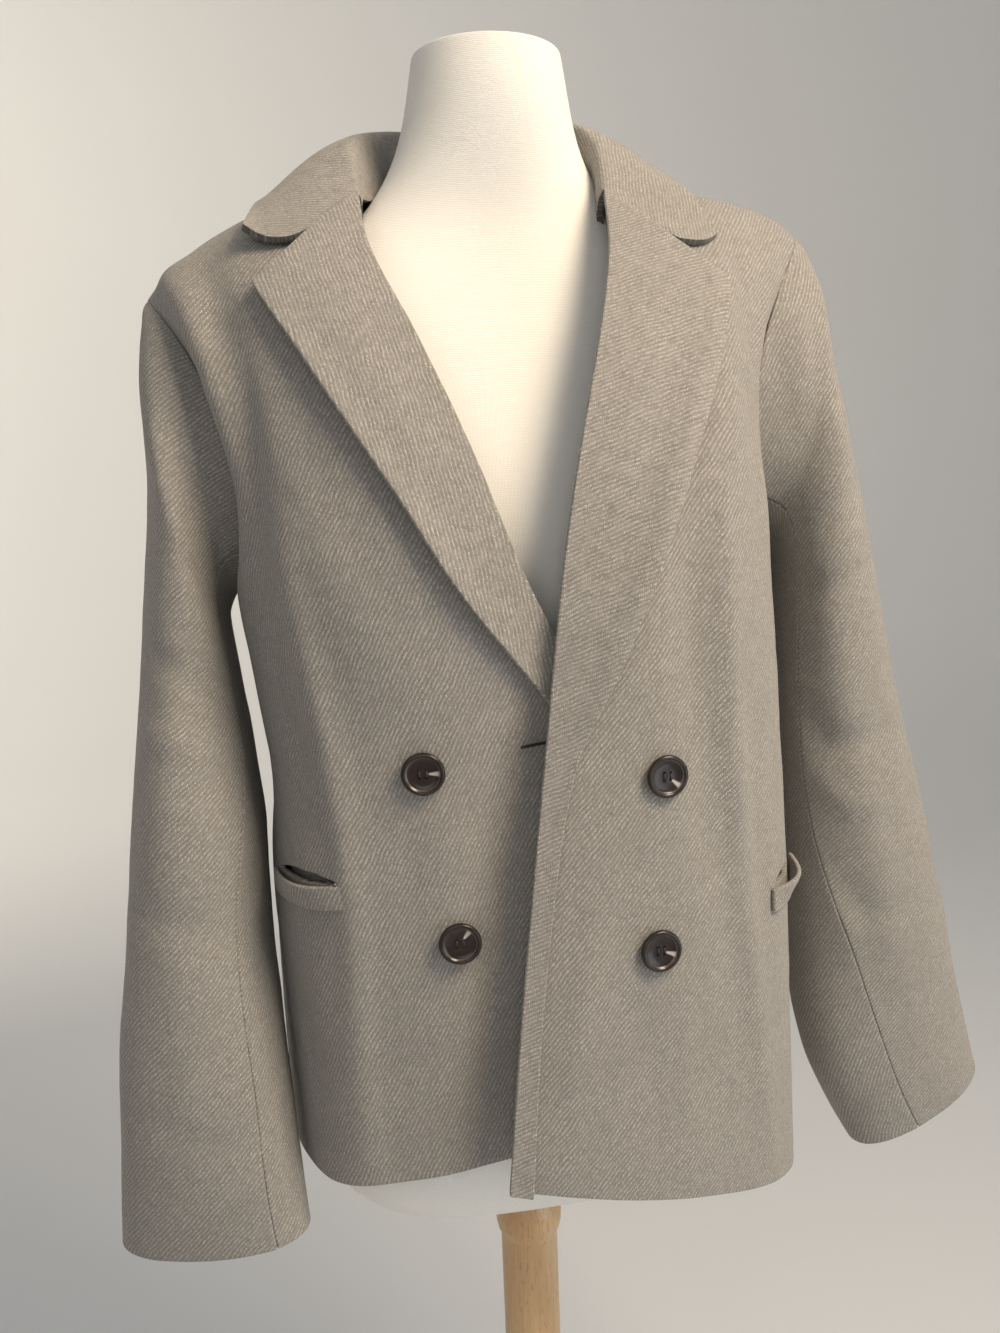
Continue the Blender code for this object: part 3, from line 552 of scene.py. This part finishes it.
def cloth_piece(name, shape, nodes, finish, folds, seed, levels=3, wall=CLOTH, rim=RIM):
    """A cut piece of cloth from its cage: creased along the listed folds, given its thickness and soft
    edges.
    """
    keep_corners(shape)
    mesh = to_mesh(name + "_cut", shape)
    lay_flat(mesh)
    mesh = smoothed(name, mesh, levels)
    ease_out(mesh, SEAM_EASE)
    press_folds(mesh, folds, seed)
    piece = add_piece(name, mesh, finish, "tweed", nodes)
    thicken = piece.modifiers.new("wall", "SOLIDIFY")
    thicken.thickness, thicken.offset = wall, -1.0
    edges = piece.modifiers.new("edge", "BEVEL")
    edges.width, edges.segments = rim, 2
    edges.limit_method, edges.angle_limit = "ANGLE", math.radians(60)
    return piece


FRONT_FOLDS = {
    "right": (
        (((-205, -42, 1348), (-197, -59, 1318), (-190, -67, 1300), (-183, -76, 1240)), 4.5, 10),
        (((-185, -47, 1353), (-174, -74, 1311), (-169, -85, 1266), (-168, -85, 1219),
          (-167, -81, 1170)), -4.5, 12),
        (((-156, -85, 1309), (-138, -108, 1258), (-116, -125, 1206), (-91, -135, 1147)), -2.0, 14),
        (((-150, -100, 1200), (-149, -105, 1159), (-137, -110, 1086), (-128, -115, 1015),
          (-126, -116, 957), (-127, -116, 795)), 5.5, 12),
        (((-160, -85, 1120), (-155, -92, 1050), (-150, -98, 1010)), -3.0, 11),
        (((-162, -75, 904), (-155, -88, 854), (-149, -97, 801)), -2.5, 11),
        (((-17, -136, 1075), (-28, -136, 1010), (-42, -135, 930), (-54, -132, 802)), -6.5, 22),
        (((-90, -132, 1099), (-91, -129, 1024), (-86, -130, 941), (-85, -128, 825)), -2.0, 16),
    ),
    "left": (
        (((153, -57, 1369), (154, -69, 1346), (150, -81, 1317), (158, -72, 1290)), -4.5, 10),
        (((126, -86, 1332), (124, -110, 1269), (114, -126, 1220)), 3.0, 15),
        (((140, -90, 1290), (146, -100, 1230), (143, -108, 1150)), -3.0, 12),
        (((100, -128, 1250), (87, -142, 1174), (91, -144, 1088), (100, -143, 985)), -5.5, 17),
        (((118, -128, 1210), (115, -133, 1172), (116, -136, 1068), (123, -135, 958),
          (133, -134, 882), (145, -133, 771)), 5.0, 11),
        (((24, -152, 995), (16, -154, 933), (4, -158, 870), (-3, -162, 799)), 2.5, 14),
        (((47, -156, 903), (58, -157, 848), (62, -160, 780)), -2.5, 18),
        (((90, -150, 870), (98, -150, 800)), -1.8, 16),
    ),
}
for seed, (side, angle, flat, area) in enumerate((("right", -17, (0.31, 0.71), 0.16),
                                                  ("left", -2, (0.36, 0.74), 0.185)), 1):
    piece = cloth_piece("tweed_front_" + side, outer_sheet("front_" + side, Vector((0, -1, 0))),
                        ["front_" + side],
                        tweed_finish("tweed_front_" + side, angle), FRONT_FOLDS[side], seed)


# ---------------------------------------------------------------- back
# The back is one piece of the same tweed, shaped over the shoulder blades, and sewn to both fronts.
BACK_FOLDS = (
    (((-150, 90, 1330), (-120, 120, 1240), (-110, 128, 1120)), -4.0, 14),
    (((150, 90, 1350), (120, 120, 1260), (112, 128, 1150)), -3.5, 15),
    (((-60, 130, 980), (-20, 134, 860), (-10, 136, 760)), 3.0, 24),
    (((-30, 120, 1300), (-22, 124, 1180), (-28, 126, 1060)), -2.5, 18),
    (((60, 128, 1040), (72, 132, 930), (70, 134, 800)), -3.0, 22),
    (((-150, 100, 1000), (-138, 110, 880), (-132, 116, 760)), -2.5, 16),
)
back_piece = cloth_piece("tweed_back", outer_sheet("back", Vector((0, 1, 0))), ["back"],
                         tweed_finish("tweed_back", 0), BACK_FOLDS, 3)


# ---------------------------------------------------------------- sleeves
# Two-piece sleeves: a wide upper and a narrower under sleeve, sewn along a front and a back seam and
# set into the armholes with a little fullness.
SLEEVE_FOLDS = {
    "right": (
        (((-220, -21, 1333), (-214, -43, 1294), (-213, -49, 1257)), 2.5, 11),
        (((-240, -62, 1215), (-222, -74, 1190), (-200, -60, 1170)), -3.5, 11),
        (((-250, -58, 1130), (-227, -69, 1118), (-200, -64, 1100)), -3.0, 11),
        (((-256, -66, 1080), (-227, -78, 1073), (-201, -69, 1060)), 2.5, 11),
        (((-265, -66, 968), (-232, -92, 955), (-197, -77, 940)), -3.0, 14),
        (((-218, -55, 1245), (-228, -61, 1159), (-232, -80, 1061), (-235, -94, 923),
          (-239, -99, 788)), 2.5, 15),
        (((-262, -90, 828), (-230, -101, 812), (-199, -98, 806)), -2.0, 13),
        (((-250, 30, 1180), (-262, 20, 1080), (-270, 5, 960)), -3.0, 14),
        (((-215, 52, 1120), (-240, 45, 1085), (-262, 30, 1070)), -3.0, 12),
    ),
    "left": (
        (((197, -40, 1339), (201, -48, 1305), (204, -49, 1258)), 2.5, 11),
        (((252, -50, 1225), (232, -60, 1200), (212, -50, 1180)), -3.5, 11),
        (((204, -10, 1159), (212, -43, 1140), (233, -61, 1147), (262, -50, 1160)), -3.0, 11),
        (((212, -28, 1057), (228, -44, 1025), (256, -52, 1029), (286, -44, 1040)), -3.5, 12),
        (((222, -30, 1000), (246, -46, 978), (276, -48, 985)), 2.5, 12),
        (((239, -41, 920), (261, -47, 892), (299, -45, 895)), -3.0, 13),
        (((204, -44, 1231), (222, -55, 1119), (250, -49, 998), (278, -46, 878), (313, -42, 764)),
         2.5, 15),
        (((262, 30, 1190), (286, 28, 1080), (312, 26, 950)), -3.0, 14),
        (((220, 60, 1110), (250, 58, 1080), (284, 48, 1070)), -3.0, 12),
    ),
}
SLEEVE_CUTS = {("right", "upper"): ((0.175, 0.64), 0.093), ("right", "under"): ((0.225, 0.615), 0.089),
               ("left", "upper"): ((0.24, 0.70), 0.105), ("left", "under"): ((0.23, 0.70), 0.109)}
for seed, side in enumerate(("right", "left"), 4):
    out = -1 if side == "right" else 1
    finish = tweed_finish("tweed_sleeve_" + side, -2)
    for half, facing in (("upper", Vector((out, 0, 0))), ("under", Vector((-out, 0, 0)))):
        flat, area = SLEEVE_CUTS[side, half]
        name = "sleeve_%s_%s" % (side, half)
        piece = cloth_piece("tweed_" + name, outer_sheet(name, facing), [name], finish,
                            SLEEVE_FOLDS[side], seed)


# ---------------------------------------------------------------- lapels
# Each lapel is two layers of tweed with canvas between them, turned out and pressed flat. On the
# wearer's left the facing goes on down the front edge as a narrow turned strip.
TURNED = 0.0048
LAPEL_FOLDS = {              # the outer edge springs up off the front, and the middle bows a little
    "right": (
        (((-154, -82, 1341), (-135, -106, 1302), (-91, -131, 1226), (-65, -146, 1183),
          (-31, -144, 1131)), 3.0, 9),
        (((-118, -88, 1330), (-92, -112, 1280), (-62, -130, 1220)), 1.5, 14),
    ),
    "left": (
        (((125, -94, 1337), (115, -108, 1312), (104, -121, 1285), (84, -139, 1239), (62, -154, 1176),
          (38, -157, 1128), (24, -157, 1088)), 3.5, 10),
        (((84, -100, 1330), (62, -125, 1280), (40, -140, 1220)), 1.5, 15),
    ),
}
for seed, (side, angle, flat, area) in enumerate((("right", -52, (0.10, 0.38), 0.018),
                                                  ("left", 28, (0.12, 0.65), 0.0246)), 7):
    piece = cloth_piece("tweed_lapel_" + side, outer_sheet("lapel_" + side, Vector((0, -1, 0))),
                        ["lapel_" + side],
                        tweed_finish("tweed_lapel_" + side, angle, fuzz=0.5), LAPEL_FOLDS[side], seed,
                        wall=TURNED, rim=0.0018)


# ---------------------------------------------------------------- collar
# The collar is two layers, a tweed top collar over a darker undercollar. It is one sheet here: the
# fall, the roll at the top, and the stand that goes down inside it round the neck.
GORGE = (  # where the collar's ends lie in the coat: from the fold, by the notch, to the tip
    (((-94, -34, 1419), (-92, -36, 1408)), ((-106, -42, 1405), (-103, -43, 1400)),
     ((-118, -47, 1395), (-115, -51, 1389)), ((-130, -52, 1389), (-131, -63, 1375)),
     ((-140, -53, 1386), (-145, -60, 1375)), ((-150, -53, 1386), (-156, -56, 1378)),
     ((-160, -51, 1391), (-162, -51, 1386))),
    (((76, -37, 1423), (68, -39, 1409)), ((88, -45, 1408), (79, -49, 1399)),
     ((98, -53, 1398), (92, -61, 1384)), ((109, -59, 1390), (108, -74, 1371)),
     ((119, -62, 1385), (120, -70, 1371)), ((128, -61, 1385), (130, -65, 1374)),
     ((135, -58, 1389), (136, -60, 1379))))
REACH = 0.022                # how far a pull on the gorge eases out into the collar
NECK = Vector((-0.009, 0.018, 0))
STAND_FOOT = 1.4295          # the lower edge of the stand lies below this height
FOLD_LOW, FOLD_MIDDLE, FOLD_HALF = 1.4175, -0.010, 0.090   # where the collar's fold edge lies
END_FROM, END_OVER = 0.045, 0.060   # the stand's ends start this far back, and go over this length
ROLLS = ((0.10, 0.0035), (0.42, 0.0045), (1.0, 0.0025))   # down the stand, and in towards the neck
DROP, TUCK = 0.021, 0.002    # the stand's ends go down behind the lapels, close to the form
LEAST_STAND = 0.010


def pull(shape, pulls, reach):
    """Move points of a cage from one place to another, and ease the pull out round them."""
    pulls = [(Vector(start) * MM, Vector(end) * MM) for start, end in pulls]
    for vertex in shape.verts:
        nearest = max(math.exp(-((vertex.co - start).length / reach) ** 2) for start, _ in pulls)
        shares = [math.exp(-((vertex.co - start).length / reach) ** 2) ** 4 for start, _ in pulls]
        if sum(shares) > 1e-9:
            move = sum(((end - start) * share for share, (start, end) in zip(shares, pulls)), Vector())
            vertex.co += move / sum(shares) * nearest


collar_shape = outer_sheet("collar", Vector((0, 0, 1)))
feet = [vertex.co.copy() for vertex in outer_sheet("collar_stand", Vector((0, -1, 0))).verts
        if vertex.co.z < STAND_FOOT]
fold = [edge for edge in collar_shape.edges if edge.is_boundary and all(
    vertex.co.z > FOLD_LOW and abs(vertex.co.x - FOLD_MIDDLE) < FOLD_HALF for vertex in edge.verts)]
for end in GORGE:
    pull(collar_shape, end, REACH)
folded = {vertex: vertex.co.copy() for edge in fold for vertex in edge.verts}
for down, inward in ROLLS:
    grown = bmesh.ops.extrude_edge_only(collar_shape, edges=fold)["geom"]
    fresh = [part for part in grown if isinstance(part, bmesh.types.BMVert)]
    fold = [part for part in grown if isinstance(part, bmesh.types.BMEdge) and part.is_boundary
            and part.verts[0] in fresh and part.verts[1] in fresh]
    start = {}
    for vertex in fresh:
        before = next(edge.other_vert(vertex) for edge in vertex.link_edges
                      if edge.other_vert(vertex) in folded)
        start[vertex] = folded[before]
        top = folded[before]
        foot = min(feet, key=lambda place: (place.xy - top.xy).length)
        front = min(1.0, max(0.0, (END_FROM - top.y) / END_OVER))
        low = min(foot.z, top.z - LEAST_STAND) - DROP * front
        foot = Vector((foot.x, foot.y + TUCK * front, low))
        to_neck = Vector((NECK.x - top.x, NECK.y - top.y, 0)).normalized()
        vertex.co = top.lerp(foot, down) + to_neck * inward
    folded = start
bmesh.ops.recalc_face_normals(collar_shape, faces=collar_shape.faces)
if sum(face.normal.z * face.calc_area() for face in collar_shape.faces) < 0:
    bmesh.ops.reverse_faces(collar_shape, faces=collar_shape.faces)
collar_piece = cloth_piece("tweed_collar", collar_shape, ["collar", "collar_stand"],
                           tweed_finish("tweed_collar", -90, fuzz=0.55), (), 9,
                           wall=0.0044, rim=0.0012)
collar_piece.data.materials.append(tweed_finish("undercollar", -45, fuzz=0.1, light=0.42))
collar_piece.modifiers["wall"].material_offset = 1
collar_piece.modifiers["wall"].material_offset_rim = 1


# ---------------------------------------------------------------- pockets
# A welt stands up along the lower edge of each slanted mouth, and a thin bag hangs behind it. The bag's
# tweed is darkened to half as painted shade inside the mouth.
for seed, (side, mouth) in enumerate((("right", 0.092), ("left", 0.066)), 11):
    piece = cloth_piece("tweed_welt_" + side, outer_sheet("pocket_welt_" + side, Vector((0, -1, 0))),
                        ["pocket_welt_" + side],
                        tweed_finish("tweed_welt_" + side, -10), (), seed, levels=2)
    # light=0.5 on the bag: painted shade, the darkness inside the pocket mouth
    piece = cloth_piece("pocket_bag_cloth_painted_shade_" + side,
                        outer_sheet("pocket_bag_" + side, Vector((0, -1, 0))), ["pocket_bag_" + side],
                        tweed_finish("pocket_bag_" + side, -40, light=0.5), (), seed, levels=2,
                        wall=CLOTH / 2, rim=0.0004)


# ---------------------------------------------------------------- buttons
# Four polished dark horn buttons with a raised rim, a dished face and four holes, sewn on with dark
# thread: two sit on each front.
def horn_finish(name, turn):
    """Dark horn: near black, with a reddish tint and fine pale streaks, and a painted highlight: a thin
    pale ring along the rim's inner edge.
    """
    horn = Finish(name, 0.30, Coat_Weight=0.30, Coat_Roughness=0.10, Specular_IOR_Level=0.30)
    flat = horn.node("ShaderNodeUVMap", {"uv_map": "face"}, {})
    across, up = horn.axis(flat, "X"), horn.axis(flat, "Y")
    far = (across * across + up * up) ** 0.5
    angle = up.turn_from(across) - turn
    off, facing = angle.sine(), angle.cosine()
    streak = (1.0 - (off * off).step(0.0, 0.05)) * facing.step(0.2, 0.8) * far.step(2.5, 4.5) \
        * (1.0 - far.step(9.0, 10.6))
    # ring: a painted highlight, the catch of light along the inner edge of the raised rim
    ring = far.step(9.7, 10.1) * (1.0 - far.step(10.2, 10.8))
    cloud = horn.noise(flat, 0.35, 3.0)
    fibre = horn.noise(horn.node("ShaderNodeMapping", {}, {"Vector": flat, "Scale": (0.4, 2.6, 1.0),
                                                           "Rotation": (0.0, 0.0, turn)}), 1.1, 3.0)
    colour = horn.blend(cloud, (0.006, 0.0045, 0.004), (0.022, 0.011, 0.008))
    colour = horn.blend(fibre.step(0.50, 0.75) * 0.35, colour, (0.075, 0.036, 0.024))
    colour = horn.blend(streak * (0.35 + fibre * 0.9), colour, (0.52, 0.47, 0.42))
    # The pale ring blended in here is a painted highlight, not a colour of the horn.
    colour = horn.blend(ring * (0.10 + cloud * 0.4), colour, (0.26, 0.21, 0.17))
    horn.feed("Base Color", colour)
    horn.relief(fibre, 0.00003)
    return horn.material


BUTTON = ((0.0, 0.0), (10.2, 0.0), (12.2, 0.7), (13.1, 1.7), (13.4, 2.7), (13.2, 3.7), (12.5, 4.4),
          (11.6, 4.6), (10.9, 4.3), (10.4, 3.6), (9.6, 3.0), (7.5, 2.6), (5.0, 2.5), (2.5, 2.55),
          (0.0, 2.6))
HOLE = 1.05
HOLE_OFF = 2.1
STREAKS = {"button_1": 0.0, "button_2": 0.9, "button_3": -0.7, "button_4": -0.35}


def thread_finish():
    """Dark spun cotton."""
    cotton = Finish("dark_thread", 0.8)
    place = cotton.node("ShaderNodeTexCoord", {}, {}, "Object")
    grain = cotton.noise(place, 2500.0, 1.0)
    cotton.feed("Base Color", cotton.blend(grain, (0.010, 0.009, 0.009), (0.05, 0.045, 0.042)))
    cotton.relief(grain, 0.0001)
    return cotton.material


thread = thread_finish()
for name, turn in STREAKS.items():
    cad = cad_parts[name].data
    middle = sum((vertex.co for vertex in cad.vertices), Vector()) / len(cad.vertices)
    facing = sum((face.normal * face.area for face in cad.polygons
                  if face.normal.y > 0.5), Vector()).normalized() * -1
    foot = min((vertex.co - middle).dot(facing) for vertex in cad.vertices)
    across = Vector((0, 0, 1)).cross(-facing).normalized() * -1
    seat = Matrix((across, facing.cross(across), facing)).transposed().to_4x4()
    seat.translation = middle + facing * foot
    shape = turn_profile([(radius * MM, height * MM) for radius, height in BUTTON], 64)
    mesh = to_mesh("horn_" + name, shape)
    layer = mesh.uv_layers.new(name="face")
    for uv, loop in zip(layer.data, mesh.loops):
        place = mesh.vertices[loop.vertex_index].co
        uv.uv = (place.x / MM, place.y / MM)
    holes = bmesh.new()
    for x in (-HOLE_OFF, HOLE_OFF):
        for y in (-HOLE_OFF, HOLE_OFF):
            bmesh.ops.create_cone(holes, cap_ends=True, segments=20, radius1=HOLE * MM,
                                  radius2=HOLE * MM, depth=0.02,
                                  matrix=Matrix.Translation((x * MM, y * MM, 0)))
    drill = bpy.data.objects.new("drill", to_mesh("drill", holes))
    bpy.context.scene.collection.objects.link(drill)
    blank = bpy.data.objects.new("blank", mesh)
    bpy.context.scene.collection.objects.link(blank)
    bore = blank.modifiers.new("holes", "BOOLEAN")
    bore.operation, bore.solver, bore.object = "DIFFERENCE", "EXACT", drill
    drilled = bpy.data.meshes.new_from_object(blank.evaluated_get(bpy.context.evaluated_depsgraph_get()))
    bpy.data.objects.remove(blank, do_unlink=True)
    bpy.data.objects.remove(drill, do_unlink=True)
    drilled.transform(seat)
    add_piece("horn_" + name, drilled, horn_finish("horn_" + name, turn), "horn", [name])
    drilled.set_sharp_from_angle(angle=math.radians(40))
    sewn = bmesh.new()
    for x in (-HOLE_OFF, HOLE_OFF):
        bmesh.ops.create_cone(sewn, cap_ends=True, segments=8, radius1=0.0006, radius2=0.0006,
                              depth=2 * HOLE_OFF * MM, matrix=Matrix.Translation(
                                  (x * MM, 0, 2.7 * MM)) @ Matrix.Rotation(math.pi / 2, 4, "X"))
    thread_mesh = to_mesh("thread_" + name, sewn)
    thread_mesh.transform(seat)
    add_piece("thread_" + name, thread_mesh, thread, "horn")


# ---------------------------------------------------------------- buttonhole
# A worked slit in the under-front's edge: two rows of close dark stitches, in millimetres.
SLIT = (Vector((-19.0, -136.2, 1065.3)), Vector((0.5, -135.6, 1067.5)))
STITCH, STITCH_STEP, STITCH_OUT, STITCH_LENGTH = 0.30, 0.62, 0.75, 0.975
run = SLIT[1] - SLIT[0]
off = run.cross(Vector((0, 1, 0))).normalized() * STITCH_OUT
over_slit = off.to_track_quat("Z", "Y").to_matrix().to_4x4()
worked = bmesh.new()
for k in range(int(run.length / STITCH_STEP)):
    for side in (-1, 1):
        spot = SLIT[0] + run * (k * STITCH_STEP / run.length) + off * side * 0.55
        bmesh.ops.create_cone(worked, cap_ends=True, segments=6, radius1=STITCH * MM,
                              radius2=STITCH * MM, depth=STITCH_LENGTH * MM,
                              matrix=Matrix.Translation(spot * MM) @ over_slit)
add_piece("buttonhole_stitches", to_mesh("buttonhole_stitches", worked), thread, "tweed")
